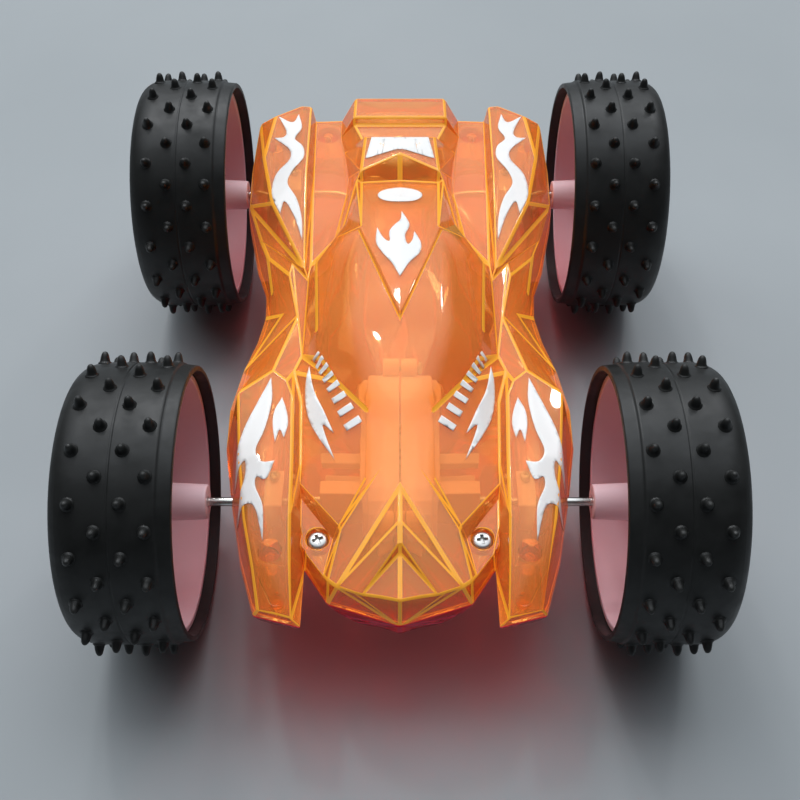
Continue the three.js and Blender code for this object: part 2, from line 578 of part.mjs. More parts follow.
function tyre() {
  let solid = turnAcross(
    [
      [0, TYRE.bore], [0, TREAD_RADIUS - TYRE.lead / 2], [TYRE.lead, TREAD_RADIUS],
      [TYRE.treadEnd, TREAD_RADIUS], ...TYRE_LIP, [TYRE.seatEnd, TYRE.bore], [0, TYRE.bore],
    ],
    SPIKE_ROWS,
  );
  const sunk = 0.8;
  const height = SPIKE_HEIGHT + sunk;
  for (let row = 0; row < SPIKE_ROWS; row++) {
    const angle = (row + 0.5) * ROW_ANGLE;
    for (let column = row % 2; column < SPIKE_COLUMNS.length; column += 2) {
      const cone = new THREE.ConeGeometry(SPIKE_RADIUS, height, SPIKE_SIDES);
      cone.translate(0, TREAD_RADIUS - sunk + height / 2, 0);
      cone.rotateX(angle);
      cone.translate(SPIKE_COLUMNS[column], 0, 0);
      solid = solid.add(toSolid(cone));
    }
  }
  return solid;
}

function rim() {
  const bore = AXLE_RADIUS + GAP;
  const boreEnd = AXLE_HALF_LENGTH - TYRE_INNER_EDGE + GAP;
  const bossEnd = RIM_HOLLOW[RIM_HOLLOW.length - 1][0];
  return turnAcross(
    [
      ...RIM_FACE, [TYRE.seatEnd - 0.5, BARREL_RADIUS], [RIM_HOLLOW[0][0], BARREL_RADIUS], ...RIM_HOLLOW,
      [bossEnd, bore], [boreEnd, bore], [boreEnd, 0],
    ],
    24,
  );
}

function addWheels() {
  const tyreSolid = tyre();
  const rimSolid = rim();
  for (const [end, y] of [["front", FRONT_Y], ["rear", REAR_Y]]) {
    for (const [side, label] of SIDES) {
      const wheel = new THREE.Group();
      wheel.position.set(side * TYRE_INNER_EDGE, y, AXLE_Z);
      wheel.rotation.z = side > 0 ? 0 : Math.PI;
      car.add(wheel);
      addPart(`rim_${end}_${label}`, rimSolid, "pink", wheel);
      addPart(`tyre_${end}_${label}`, tyreSolid, "black", wheel);
    }
    const axle = rodAcross(AXLE_RADIUS, -AXLE_HALF_LENGTH, AXLE_HALF_LENGTH, 0, 0);
    addPart(`${end}_axle`, axle, "steel").position.set(0, y, AXLE_Z);
  }
}

addShells();
addShellScrews();
addGearbox();
addGears();
addBrackets();
addWheels();

export default car;
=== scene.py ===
"""A double-sided friction stunt car: two clear moulded shells, four studded tyres on deep rims,
and a geared flywheel motor inside. Metres, +Z up, front towards -Y, in the frame of the CAD."""

import json
import math
import random

import bmesh
import bpy
from mathutils import Matrix, Vector, geometry
from mathutils.bvhtree import BVHTree


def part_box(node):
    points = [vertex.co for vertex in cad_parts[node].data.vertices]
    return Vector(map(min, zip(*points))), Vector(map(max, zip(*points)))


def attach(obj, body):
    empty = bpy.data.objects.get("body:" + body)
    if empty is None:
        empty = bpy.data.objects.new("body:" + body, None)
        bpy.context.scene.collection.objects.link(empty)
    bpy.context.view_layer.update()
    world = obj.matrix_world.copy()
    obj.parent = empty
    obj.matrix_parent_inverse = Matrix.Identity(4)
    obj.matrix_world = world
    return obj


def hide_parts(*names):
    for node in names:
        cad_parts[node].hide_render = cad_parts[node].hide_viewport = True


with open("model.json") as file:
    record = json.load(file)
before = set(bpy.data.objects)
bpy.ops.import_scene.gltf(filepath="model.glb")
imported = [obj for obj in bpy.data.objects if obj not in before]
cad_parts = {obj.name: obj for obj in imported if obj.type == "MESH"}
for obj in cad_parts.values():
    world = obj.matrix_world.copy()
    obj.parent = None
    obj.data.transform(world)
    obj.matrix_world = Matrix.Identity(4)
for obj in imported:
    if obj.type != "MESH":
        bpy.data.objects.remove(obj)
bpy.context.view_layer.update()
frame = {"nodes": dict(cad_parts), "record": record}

MM = 0.001
RECORD = frame["record"]
NODES = frame["nodes"]
BODY_OF = {node: body for body, nodes in RECORD["behaviour"]["bodies"].items() for node in nodes}
SLOT_OF = {
    "upper_shell": "orange_clear",
    "lower_shell": "magenta_clear",
    "gearbox": "pink_plastic",
    "bracket": "pink_plastic",
    "gear": "gear_plastic",
    "pinion": "gear_plastic",
    "rim": "rim_plastic",
    "tyre": "tyre_rubber",
    "axle": "steel",
    "pin": "steel",
    "flywheel": "flywheel_steel",
    "screw": "screw_steel",
}
WHEELS = [(end, side) for end in ("front", "rear") for side in ("left", "right")]

# Tyres
SPIKE_HEIGHT = 2.53 * MM
SPIKE_ROWS = 36
SPIKE_COLUMNS = [5.3 * MM, 10.3 * MM, 15.5 * MM, 20.7 * MM]
TYRE_STEPS = 144
# Shells
CREASE = 0.6 * MM
CREASE_STEPS = 3
RIM_CREASE = 0.22 * MM
NOSE_SHARE = 0.75
RIBBED = 12
FACETED = 16
SMOOTH = 50
RETRY_REACH = 1.0 * MM
RETRY_SHARE = 0.6
# Paint
PAINT_GRID = 0.8 * MM
PAINT_LIFT = 0.05 * MM
PAINT_THICKNESS = 0.09 * MM


# ---------------------------------------------------------------- materials


class Shader:
    """A material's node tree, with short calls that add a node and join sockets."""

    def __init__(self, name):
        self.material = bpy.data.materials.new(name)
        self.material.use_nodes = True
        self.tree = self.material.node_tree
        self.tree.nodes.clear()
        self.output = self.tree.nodes.new("ShaderNodeOutputMaterial")
        self.place = self.add("TexCoord").outputs["Object"]

    def add(self, kind, inputs=None, **settings):
        node = self.tree.nodes.new("ShaderNode" + kind)
        for key, value in settings.items():
            setattr(node, key, value)
        for key, value in (inputs or {}).items():
            self.put(node.inputs[key], value)
        return node

    def put(self, socket, value):
        if isinstance(value, bpy.types.NodeSocket):
            self.tree.links.new(value, socket)
        else:
            socket.default_value = value

    def noise(self, scale, detail=3.0, roughness=0.5, place=None):
        inputs = {"Vector": place or self.place, "Scale": scale, "Detail": detail, "Roughness": roughness}
        return self.add("TexNoise", inputs).outputs["Fac"]

    def stretched(self, factors):
        return self.add("VectorMath", {0: self.place, 1: factors}, operation="MULTIPLY").outputs[0]

    def spread(self, value, low, high, from_low=0.0, from_high=1.0):
        inputs = {"Value": value, "From Min": from_low, "From Max": from_high, "To Min": low, "To Max": high}
        return self.add("MapRange", inputs).outputs["Result"]

    def blend(self, factor, one, two):
        node = self.add("Mix", data_type="RGBA")
        self.put(node.inputs["Factor"], factor)
        self.put(node.inputs[6], one)
        self.put(node.inputs[7], two)
        return node.outputs[2]

    def bump(self, height, strength, distance, normal=None):
        inputs = {"Height": height, "Strength": strength, "Distance": distance}
        if normal is not None:
            inputs["Normal"] = normal
        return self.add("Bump", inputs).outputs["Normal"]

    def principled(self, **inputs):
        named = {key.replace("_", " "): value for key, value in inputs.items()}
        return self.add("BsdfPrincipled", named).outputs["BSDF"]

    def mix(self, factor, one, two):
        return self.add("MixShader", {0: factor, 1: one, 2: two}).outputs[0]

    def finish(self, surface, volume=None):
        self.put(self.output.inputs["Surface"], surface)
        if volume is not None:
            self.put(self.output.inputs["Volume"], volume)
        return self.material


def flat_colour(red, green, blue):
    return (red, green, blue, 1.0)


def clear_plastic(name, tint, density, lamps, milk, painted_glow=None):
    """Clear tinted polystyrene, a little milky. Light takes its colour on the way through the
    wall, and lamps reach what is inside. The crease version is painted light: a brighter base colour
    and a faint emission on the rounded creases, a painted glow in place of the light real creases gather."""
    s = Shader(name)
    flow = s.bump(s.noise(26.0, 2.0), 0.12, 0.6 * MM)
    ripple = s.bump(s.noise(140.0, 2.0), 0.05, 0.25 * MM, flow)
    haze = s.spread(s.noise(60.0, 5.0), 0.015, 0.075, 0.35, 0.75)
    scuffs = s.spread(s.noise(900.0, 2.0, place=s.stretched((1.0, 0.15, 1.0))), 0.0, 0.05, 0.62, 0.8)
    rough = s.add("Math", {0: haze, 1: scuffs}, operation="ADD").outputs[0]
    surface = s.principled(
        Base_Color=flat_colour(1.0, 1.0, 1.0),
        Roughness=rough,
        IOR=1.52,
        Transmission_Weight=1.0,
        Normal=ripple,
    )
    milky = s.blend(s.noise(38.0, 3.0), milk["low"], milk["high"])
    body = s.principled(Base_Color=milky, Roughness=rough, IOR=1.52, Normal=ripple)
    surface = s.mix(s.spread(s.noise(70.0, 4.0), milk["share"] - 0.05, milk["share"] + 0.05), surface, body)
    # Painted glow: the crease faces get a brighter orange base and a faint emission, though they are no
    # lamp.
    if painted_glow is not None:
        shade = s.blend(s.noise(45.0, 2.0), painted_glow["low"], painted_glow["high"])
        edge = s.principled(
            Base_Color=shade,
            Roughness=0.16,
            IOR=1.52,
            Emission_Color=shade,
            Emission_Strength=painted_glow["light"],
            Normal=ripple,
        )
        surface = s.mix(painted_glow["share"], surface, edge)
    through = s.add("BsdfTransparent", {"Color": lamps}).outputs[0]
    surface = s.mix(s.add("LightPath").outputs["Is Shadow Ray"], surface, through)
    volume = s.add("VolumeAbsorption", {"Color": tint, "Density": density}).outputs[0]
    return s.finish(surface, volume)


def moulded_plastic(name, low, high, rough, grain=0.25):
    """Opaque moulded plastic: a faint flow pattern, a satin grain and small handling marks."""
    s = Shader(name)
    shade = s.blend(s.noise(55.0, 4.0), low, high)
    fine = s.noise(2600.0, 2.0)
    marks = s.noise(350.0, 5.0, 0.65, s.stretched((1.0, 0.3, 1.0)))
    rougher = s.spread(marks, rough - 0.08, rough + 0.14, 0.35, 0.75)
    normal = s.bump(fine, grain, 0.03 * MM, s.bump(s.noise(80.0, 2.0), 0.1, 0.2 * MM))
    surface = s.principled(Base_Color=shade, Roughness=rougher, IOR=1.49, Normal=normal)
    return s.finish(surface)


def rubber():
    """Black tyre rubber: waxy patches, dust in the grain, and spikes rubbed paler at their tips."""
    s = Shader("tyre_rubber_black")
    parts = s.add("SeparateXYZ", {0: s.place}).outputs
    flat = s.add("CombineXYZ", {"Y": parts["Y"], "Z": parts["Z"]}).outputs[0]
    radius = s.add("VectorMath", {0: flat}, operation="LENGTH").outputs["Value"]
    rubbed = s.spread(radius, 0.0, 1.0, 33.4 * MM, 34.6 * MM)
    dust = s.spread(s.noise(420.0, 6.0, 0.7), 0.0, 1.0, 0.45, 0.8)
    body = s.blend(s.noise(60.0, 3.0), flat_colour(0.006, 0.0063, 0.006), flat_colour(0.010, 0.0105, 0.010))
    dusty = s.blend(s.add("Math", {0: dust, 1: 0.35}, operation="MULTIPLY").outputs[0], body,
                    flat_colour(0.022, 0.023, 0.022))
    shade = s.blend(s.add("Math", {0: rubbed, 1: 0.4}, operation="MULTIPLY").outputs[0], dusty,
                    flat_colour(0.034, 0.035, 0.034))
    waxy = s.spread(s.noise(130.0, 4.0, 0.6), 0.34, 0.60, 0.3, 0.7)
    wavy = s.bump(s.noise(150.0, 2.0), 0.35, 0.35 * MM)
    normal = s.bump(s.noise(3000.0, 3.0), 0.25, 0.03 * MM, wavy)
    surface = s.principled(Base_Color=shade, Roughness=waxy, IOR=1.5, Normal=normal)
    return s.finish(surface)


def steel(name, colour, rough, along):
    """Bright steel with fine drawn or turned lines; along stretches them."""
    s = Shader(name)
    lines = s.noise(900.0, 3.0, 0.6, s.stretched(along))
    specks = s.noise(500.0, 4.0, 0.7)
    shade = s.blend(s.spread(specks, 0.0, 1.0, 0.4, 0.75), colour, [0.82 * c for c in colour[:3]] + [1.0])
    rougher = s.spread(lines, rough - 0.06, rough + 0.1, 0.3, 0.7)
    normal = s.bump(lines, 0.15, 0.02 * MM)
    surface = s.principled(Base_Color=shade, Metallic=1.0, Roughness=rougher, Normal=normal)
    return s.finish(surface)


def white_paint():
    """Pad-printed white ink with a slightly uneven film."""
    s = Shader("paint_white")
    shade = s.blend(s.noise(120.0, 4.0), flat_colour(0.74, 0.73, 0.71), flat_colour(0.86, 0.86, 0.85))
    rough = s.spread(s.noise(240.0, 3.0), 0.3, 0.45)
    normal = s.bump(s.noise(1500.0, 2.0), 0.15, 0.03 * MM)
    return s.finish(s.principled(Base_Color=shade, Roughness=rough, IOR=1.5, Normal=normal))


def make_materials():
    orange = dict(
        tint=flat_colour(0.97, 0.68, 0.12),
        density=650.0,
        lamps=flat_colour(1.0, 0.93, 0.86),
        milk=dict(low=flat_colour(0.90, 0.34, 0.05), high=flat_colour(0.93, 0.43, 0.10), share=0.33),
    )
    magenta = dict(
        tint=flat_colour(0.93, 0.04, 0.30),
        density=800.0,
        lamps=flat_colour(1.0, 0.56, 0.72),
        milk=dict(low=flat_colour(0.60, 0.02, 0.08), high=flat_colour(0.70, 0.04, 0.13), share=0.25),
    )
    # Painted glow for the rounded creases: brighter colours and a faint emission strength (light).
    orange_painted_glow = dict(
        low=flat_colour(1.0, 0.38, 0.02), high=flat_colour(1.0, 0.50, 0.05), share=0.65, light=0.26
    )
    magenta_painted_glow = dict(
        low=flat_colour(0.85, 0.03, 0.09), high=flat_colour(0.95, 0.08, 0.2), share=0.5, light=0.1
    )
    return {
        "orange_clear": clear_plastic("orange_clear_wall", **orange),
        "orange_edge": clear_plastic("orange_clear_edge", **orange, painted_glow=orange_painted_glow),
        "magenta_clear": clear_plastic("magenta_clear_wall", **magenta),
        "magenta_edge": clear_plastic("magenta_clear_edge", **magenta, painted_glow=magenta_painted_glow),
        "pink_plastic": moulded_plastic(
            "gearbox_pink", flat_colour(0.78, 0.52, 0.54), flat_colour(0.84, 0.60, 0.61), 0.42
        ),
        "rim_plastic": moulded_plastic(
            "rim_pink", flat_colour(0.84, 0.59, 0.64), flat_colour(0.89, 0.66, 0.71), 0.36
        ),
        "gear_plastic": moulded_plastic(
            "gear_acetal", flat_colour(0.76, 0.74, 0.68), flat_colour(0.84, 0.83, 0.78), 0.4
        ),
        "tyre_rubber": rubber(),
        "steel": steel("axle_steel", flat_colour(0.78, 0.77, 0.74), 0.2, (0.04, 1.0, 1.0)),
        "flywheel_steel": steel("flywheel_steel", flat_colour(0.5, 0.5, 0.51), 0.3, (1.0, 0.3, 0.3)),
        "screw_steel": steel("screw_nickel", flat_colour(0.60, 0.59, 0.57), 0.3, (1.0, 1.0, 1.0)),
        "paint": white_paint(),
    }


# ---------------------------------------------------------------- mesh helpers


def slot_of(node):
    return next(slot for part, slot in SLOT_OF.items() if part in node)


def new_piece(name, mesh, materials):
    piece = bpy.data.objects.new(name, mesh)
    bpy.context.scene.collection.objects.link(piece)
    mesh.materials.clear()
    for material in materials:
        mesh.materials.append(material)
    return piece


def stand_for(piece, node):
    """The piece rides on the node's body and is shown in its place, with the node hidden."""
    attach(piece, BODY_OF[node])
    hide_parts(node)
    return piece


def to_mesh(bm, name):
    bmesh.ops.recalc_face_normals(bm, faces=bm.faces)
    for face in bm.faces:
        face.smooth = True
    mesh = bpy.data.meshes.new(name)
    bm.to_mesh(mesh)
    bm.free()
    return mesh


def baked(piece):
    """Applies the piece's modifiers to its mesh."""
    graph = bpy.context.evaluated_depsgraph_get()
    mesh = bpy.data.meshes.new_from_object(piece.evaluated_get(graph))
    piece.modifiers.clear()
    piece.data = mesh
    return piece


def weighted_normals(piece):
    """Flat faces stay flat and the narrow faces between them shade round."""
    modifier = piece.modifiers.new("normals", "WEIGHTED_NORMAL")
    modifier.mode = "FACE_AREA"
    modifier.weight = 90
    modifier.keep_sharp = True


def room_at_corner(loop):
    """How far the two edges at a face's corner can be pushed into the face."""
    angle = loop.calc_angle()
    if angle > math.radians(170):
        return math.inf
    shortest = min(loop.edge.calc_length(), loop.link_loop_prev.edge.calc_length())
    return 0.45 * shortest * math.tan(angle / 2)


def room_across(face, edge):
    """Two fifths of the face's depth behind one of its edges."""
    start = edge.verts[0].co
    along = (edge.verts[1].co - start).normalized()
    depth = max((v.co - start - along * (v.co - start).dot(along)).length for v in face.verts)
    return 0.4 * depth


def is_round(edge):
    """An edge between two upright facets of a boss or well, which shades smooth."""
    upright = all(abs(face.normal.z) < 0.02 for face in edge.link_faces)
    return upright and edge.calc_face_angle(0) < math.radians(30)


def crease_width(edge, width, least):
    if edge.calc_face_angle(0) < math.radians(least(edge)) or is_round(edge):
        return 0.0
    room = width
    for loop in edge.link_loops:
        room = min(room, room_across(loop.face, edge))
        room = min(room, room_at_corner(loop), room_at_corner(loop.link_loop_next))
    return max(room, 0.05 * width)


def widest_crease(edge, up, joint):
    """How wide a crease may be: full on the shell's outer side, thin along its rim, none inside."""
    facing = sum((face.normal for face in edge.link_faces), Vector()).z * up
    if all(abs(v.co.z - joint) < 0.05 * MM for v in edge.verts):
        return 0.0 if all(abs(f.normal.z) > 0.9 for f in edge.link_faces) else RIM_CREASE
    on_nose = all(v.co.y < centre_of("front_axle").y - 5 * MM for v in edge.verts)
    return (NOSE_SHARE if on_nose else 1.0) * CREASE if facing > 0.05 else 0.0


def least_bend(edge):
    """How many degrees a shell's edge must bend to be a crease. The crown of the canopy, the
    spine, the bonnet and the middle of each front fender are smooth, and the nose is ribbed."""
    axle = centre_of("front_axle").y
    x = abs(edge.verts[0].co.x + edge.verts[1].co.x) / 2
    y = (edge.verts[0].co.y + edge.verts[1].co.y) / 2 - axle
    if y < -3 * MM and x < 19 * MM:
        return RIBBED
    on_crown = (x / (18.5 * MM)) ** 2 + ((y - 43.6 * MM) / (27 * MM)) ** 2 < 1
    on_spine = x < 9 * MM and 60 * MM < y < 97 * MM
    on_bonnet = x < 9 * MM and -3 * MM <= y < 13.5 * MM
    on_fender = abs(x - 28.9 * MM - 0.072 * y) < 1.6 * MM and -31 * MM < y < 29 * MM
    return SMOOTH if on_crown or on_spine or on_bonnet or on_fender else FACETED


def crossings(mesh):
    """Places where faces that do not touch each other's corners run through one another."""
    bm = bmesh.new()
    bm.from_mesh(mesh)
    bmesh.ops.triangulate(bm, faces=bm.faces)
    bm.faces.ensure_lookup_table()
    tree = BVHTree.FromBMesh(bm)
    spots = set()
    for one, two in tree.overlap(tree):
        first, second = bm.faces[one], bm.faces[two]
        if one < two and not set(first.verts) & set(second.verts):
            small = min(first, second, key=lambda face: face.calc_area())
            spots.add(tuple(round(value / (0.5 * MM)) for value in small.calc_center_median()))
    bm.free()
    return [Vector(spot) * (0.5 * MM) for spot in sorted(spots)]


def is_near(edge, spots, reach):
    a, b = (v.co for v in edge.verts)
    for spot in spots:
        place, share = geometry.intersect_point_line(spot, a, b)
        nearest = a if share < 0 else b if share > 1 else place
        if (nearest - spot).length < reach:
            return True
    return False


def rounded_copy(node, name, width, steps, materials, least=lambda edge: 5, widest=None, tries=6):
    """The CAD node's own shape with its flat faces whole and its edges rounded where they bend by
    more than least(edge) degrees. The rounded faces take the last material. Where the roundings
    run into each other they are made narrower and tried again."""
    bm = bmesh.new()
    bm.from_mesh(NODES[node].data)
    bmesh.ops.remove_doubles(bm, verts=bm.verts, dist=0.002 * MM)
    bmesh.ops.dissolve_limit(bm, angle_limit=math.radians(0.4), verts=bm.verts, edges=bm.edges)
    bm.normal_update()
    weight = bm.edges.layers.float.new("bevel_weight_edge")
    for edge in bm.edges:
        room = crease_width(edge, width, least) if widest is None or widest(edge) > 0 else 0.0
        edge[weight] = min(room, width if widest is None else widest(edge)) / width
    for attempt in range(tries):
        mesh = to_mesh(bm.copy(), name)
        piece = new_piece(name, mesh, materials)
        modifier = piece.modifiers.new("creases", "BEVEL")
        modifier.width = width
        modifier.segments = steps
        modifier.limit_method = "WEIGHT"
        modifier.use_clamp_overlap = False
        modifier.material = len(materials) - 1
        baked(piece)
        spots = crossings(piece.data)
        if not spots or attempt == tries - 1:
            break
        for edge in bm.edges:
            if edge[weight] > 0 and is_near(edge, spots, RETRY_REACH):
                edge[weight] *= RETRY_SHARE
        made = piece.data
        bpy.data.objects.remove(piece)
        bpy.data.meshes.remove(made)
    bm.free()
    weighted_normals(piece)
    return piece


def eased(points, steps=4):
    """A closed outline of (x, radius, corner) with each corner eased by that much."""
    out = []
    for i, (x, r, corner) in enumerate(points):
        here = Vector((x, r))
        before = Vector(points[i - 1][:2])
        after = Vector(points[(i + 1) % len(points)][:2])
        if corner == 0:
            out.append(here)
            continue
        start = here + (before - here).normalized() * min(corner, 0.48 * (before - here).length)
        end = here + (after - here).normalized() * min(corner, 0.48 * (after - here).length)
        for k in range(steps + 1):
            t = k / steps
            out.append((1 - t) ** 2 * start + 2 * t * (1 - t) * here + t * t * end)
    return out


def revolve(bm, outline, steps, closed=True):
    """Turns an outline of (x, radius) about the X axis. On the axis its ends meet in a point."""
    rings = []
    for i in range(steps):
        angle = 2 * math.pi * i / steps
        turn = [Vector((x, r * math.cos(angle), r * math.sin(angle))) for x, r in outline]
        rings.append([bm.verts.new(place) for place in turn])
    count = len(outline) if closed else len(outline) - 1
    for i, ring in enumerate(rings):
        following = rings[(i + 1) % steps]
        for k in range(count):
            n = (k + 1) % len(outline)
            if outline[k][1] == 0 and outline[n][1] == 0:
                continue
            bm.faces.new((ring[k], ring[n], following[n], following[k]))
    bmesh.ops.remove_doubles(bm, verts=bm.verts, dist=0.0005 * MM)


def in_mm(points):
    return [tuple(value * MM for value in point) for point in points]


def centre_of(node):
    low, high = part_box(node)
    return (low + high) / 2


# ---------------------------------------------------------------- shells


def make_shell(node, wall, edge, up):
    low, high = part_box(node)
    joint = low.z if up > 0 else high.z
    # The rounded crease faces take the edge finish, which carries the painted glow.
    piece = rounded_copy(
        node, f"{node}_moulding", CREASE, CREASE_STEPS, [wall, edge], least_bend,
        lambda side: widest_crease(side, up, joint)
    )
    return stand_for(piece, node)


# ---------------------------------------------------------------- wheels


def wheel_frame(node):
    """Local X runs outwards from the tyre's inner edge, on the axle's line."""
    low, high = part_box(node.replace("rim", "tyre"))
    side = 1 if low.x > 0 else -1
    middle = (low + high) / 2
    inner_edge = low.x if side > 0 else high.x
    turn = Matrix.Identity(4) if side > 0 else Matrix.Rotation(math.pi, 4, "Z")
    return Matrix.Translation((inner_edge, middle.y, middle.z)) @ turn


def tyre_outline(tread):
    """Section of the tyre: x from its inner edge, and radius."""
    bore = tread - 1.95 * MM
    lip = 2.9 * MM
    seam = 13.0 * MM
    cut = 0.16 * MM
    outline = [
        (0, bore, 0.2 * MM), (0, tread - 0.75 * MM, 0.5 * MM), (lip, tread - 0.42 * MM, 0.3 * MM),
        (lip + 0.5 * MM, tread, 0.35 * MM), (seam - 2 * cut, tread, 0.1 * MM), (seam, tread - cut, 0),
        (seam + 2 * cut, tread, 0.1 * MM),
        (22.2 * MM, tread, 2.6 * MM),
        (25.2 * MM, tread - 1.7 * MM, 2.2 * MM),
        (25.9 * MM, tread - 4.4 * MM, 1.2 * MM), (25.6 * MM, tread - 6.4 * MM, 0.4 * MM),
        (24.6 * MM, tread - 6.1 * MM, 0.4 * MM), (24.6 * MM, tread - 3.1 * MM, 0.3 * MM),
        (23.9 * MM, bore, 0.2 * MM),
    ]
    return eased(outline, 5)


def add_spike(bm, x, angle, tread, rng):
    """One rubber spike: a flared foot, a slim cone and a round tip, very slightly bent."""
    sides = 12
    outline = [
        (-0.5, 1.6), (0.0, 1.55), (0.12, 1.32), (0.4, 1.15), (1.2, 1.0), (1.9, 0.8), (2.3, 0.55),
        (2.48, 0.28), (2.53, 0.0),
    ]
    lean = Vector((rng.uniform(-1, 1), rng.uniform(-1, 1))) * 0.05
    rings = []
    for height, radius in in_mm(outline):
        ring = []
        bend = lean * max(height, 0) ** 2 / SPIKE_HEIGHT
        for k in range(sides if radius else 1):
            around = 2 * math.pi * k / sides
            local = Vector((
                x + bend.x + radius * math.cos(around),
                bend.y + radius * math.sin(around),
                tread + height,
            ))
            ring.append(bm.verts.new(Matrix.Rotation(angle, 3, "X") @ local))
        rings.append(ring)
    for lower, upper in zip(rings, rings[1:]):
        for k in range(sides):
            n = (k + 1) % sides
            if len(upper) == 1:
                bm.faces.new((lower[k], lower[n], upper[0]))
            else:
                bm.faces.new((lower[k], lower[n], upper[n], upper[k]))
    bm.faces.new(rings[0])


def tyre_mesh(node):
    low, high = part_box(node)
    row_angle = 2 * math.pi / SPIKE_ROWS
    tread = (high.z - low.z) / 2 / math.cos(row_angle / 2) - SPIKE_HEIGHT
    bm = bmesh.new()
    revolve(bm, tyre_outline(tread), TYRE_STEPS)
    rng = random.Random(7)
    for row in range(SPIKE_ROWS):
        for column in range(row % 2, len(SPIKE_COLUMNS), 2):
            # A cone of the CAD part stands on Y, and this one on Z, so rows count from +Y.
            angle = (row + 0.5) * row_angle - math.pi / 2
            add_spike(bm, SPIKE_COLUMNS[column], angle, tread, rng)
    return to_mesh(bm, "tyre_mesh")


def rim_outline():
    """Section of the rim: x from the tyre's inner edge, radius and how far the corner is eased."""
    return eased(in_mm([
        (23.2, 0, 0), (23.2, 4.2, 0.3), (22.7, 4.7, 0.3), (22.7, 5.6, 0.4), (19.9, 6.9, 0.8),
        (19.9, 21.9, 1.2), (23.9, 24.9, 0.8), (24.3, 25.4, 0.4), (24.3, 28.8, 0.5), (23.4, 29.9, 0.3),
        (2.6, 29.9, 0.3), (2.6, 28.4, 0.4), (16.6, 27.9, 1.6), (18.4, 25.6, 1.6), (18.4, 6.4, 1.4),
        (16.6, 4.8, 1.2), (-2.1, 4.0, 0.5), (-2.1, 1.3, 0.2),
        (20.6, 1.3, 0), (20.6, 0, 0),
    ]), 4)


def add_spokes(bm, count=6):
    """Raised tapered spokes on the rim's outer face, each a closed solid set into the web."""
    section = in_mm([(5.2, 2.9), (14.0, 2.1), (23.4, 1.7)])
    foot = 19.2 * MM
    crown = 21.6 * MM
    ease = 0.45 * MM
    for k in range(count):
        turn = Matrix.Rotation(2 * math.pi * k / count, 3, "X")
        rows = []
        for radius, half in section:
            corners = [(foot, -half), (crown - ease, -half), (crown, -half + ease), (crown, half - ease),
                       (crown - ease, half), (foot, half)]
            rows.append([bm.verts.new(turn @ Vector((x, across, radius))) for x, across in corners])
        for one, two in zip(rows, rows[1:]):
            for i in range(len(one)):
                n = (i + 1) % len(one)
                bm.faces.new((one[i], one[n], two[n], two[i]))
        bm.faces.new(rows[0])
        bm.faces.new(rows[-1][::-1])


def rim_mesh():
    bm = bmesh.new()
    revolve(bm, rim_outline(), 128)
    add_spokes(bm)
    return to_mesh(bm, "rim_mesh")


def make_wheels(finish):
    rim = rim_mesh()
    tyre = tyre_mesh("tyre_front_right")
    for end, side in WHEELS:
        for kind, mesh in (("rim", rim), ("tyre", tyre)):
            node = f"{kind}_{end}_{side}"
            piece = new_piece(f"{node}_moulding", mesh.copy(), [finish[slot_of(node)]])
            piece.matrix_world = wheel_frame(node)
            weighted_normals(piece)
            stand_for(piece, node)


# ---------------------------------------------------------------- rods, screws and works


def rod_mesh(name, radius, length, ease):
    bm = bmesh.new()
    half = length / 2
    outline = eased([(-half, 0, 0), (-half, radius, ease), (half, radius, ease), (half, 0, 0)], 3)
    revolve(bm, outline, 48, closed=False)
    return to_mesh(bm, name)


def make_rod(node, finish):
    """A plain rod across the car, as long and as thick as its CAD node."""
    low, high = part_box(node)
    size = high - low
    mesh = rod_mesh(f"{node}_mesh", size.y / 2 if "axle" in node else size.z / 2, size.x, 0.2 * MM)
    piece = new_piece(f"{node}_rod", mesh, [finish[slot_of(node)]])
    piece.location = (low + high) / 2
    weighted_normals(piece)
    return stand_for(piece, node)


def threaded_outline(radius, length, pitch, depth):
    """Rows of a screw's shank, from under the head to the point, as (height, radius, phase)."""
    rows = []
    count = int(length / (pitch / 6))
    for i in range(count + 1):
        height = -length * i / count
        taper = min(1.0, (length + height) / (1.5 * pitch) + 0.25)
        rows.append((height, radius * taper, depth * taper, height / pitch))
    return rows


def screw_mesh(name, head, head_height, shank, length):
    """A domed cross-head screw along Z, with the underside of its head at the origin."""
    sides = 24
    bm = bmesh.new()
    rings = []
    for height, radius, depth, phase in reversed(threaded_outline(shank, length, 0.9 * MM, 0.22 * MM)):
        ring = []
        for k in range(sides):
            around = k / sides
            cut = abs(2 * ((phase - around) % 1.0) - 1)
            r = radius - depth * (1 - cut) * (1 if height < -0.4 * MM else 0)
            place = (r * math.cos(2 * math.pi * around), r * math.sin(2 * math.pi * around), height)
            ring.append(bm.verts.new(place))
        rings.append(ring)
    dome = [(0.96, 0.0), (1.0, 0.08), (1.0, 0.42), (0.9, 0.74), (0.68, 0.93), (0.4, 1.0)]
    for share, rise in dome:
        r = head * share
        rings.append([
            bm.verts.new((r * math.cos(2 * math.pi * k / sides), r * math.sin(2 * math.pi * k / sides),
                          head_height * rise))
            for k in range(sides)
        ])
    for one, two in zip(rings, rings[1:]):
        for k in range(sides):
            n = (k + 1) % sides
            bm.faces.new((one[k], one[n], two[n], two[k]))
    bm.faces.new(rings[0][::-1])
    bm.faces.new(rings[-1])
    mesh = to_mesh(bm, name)
    return cut_cross(mesh, head, head_height)


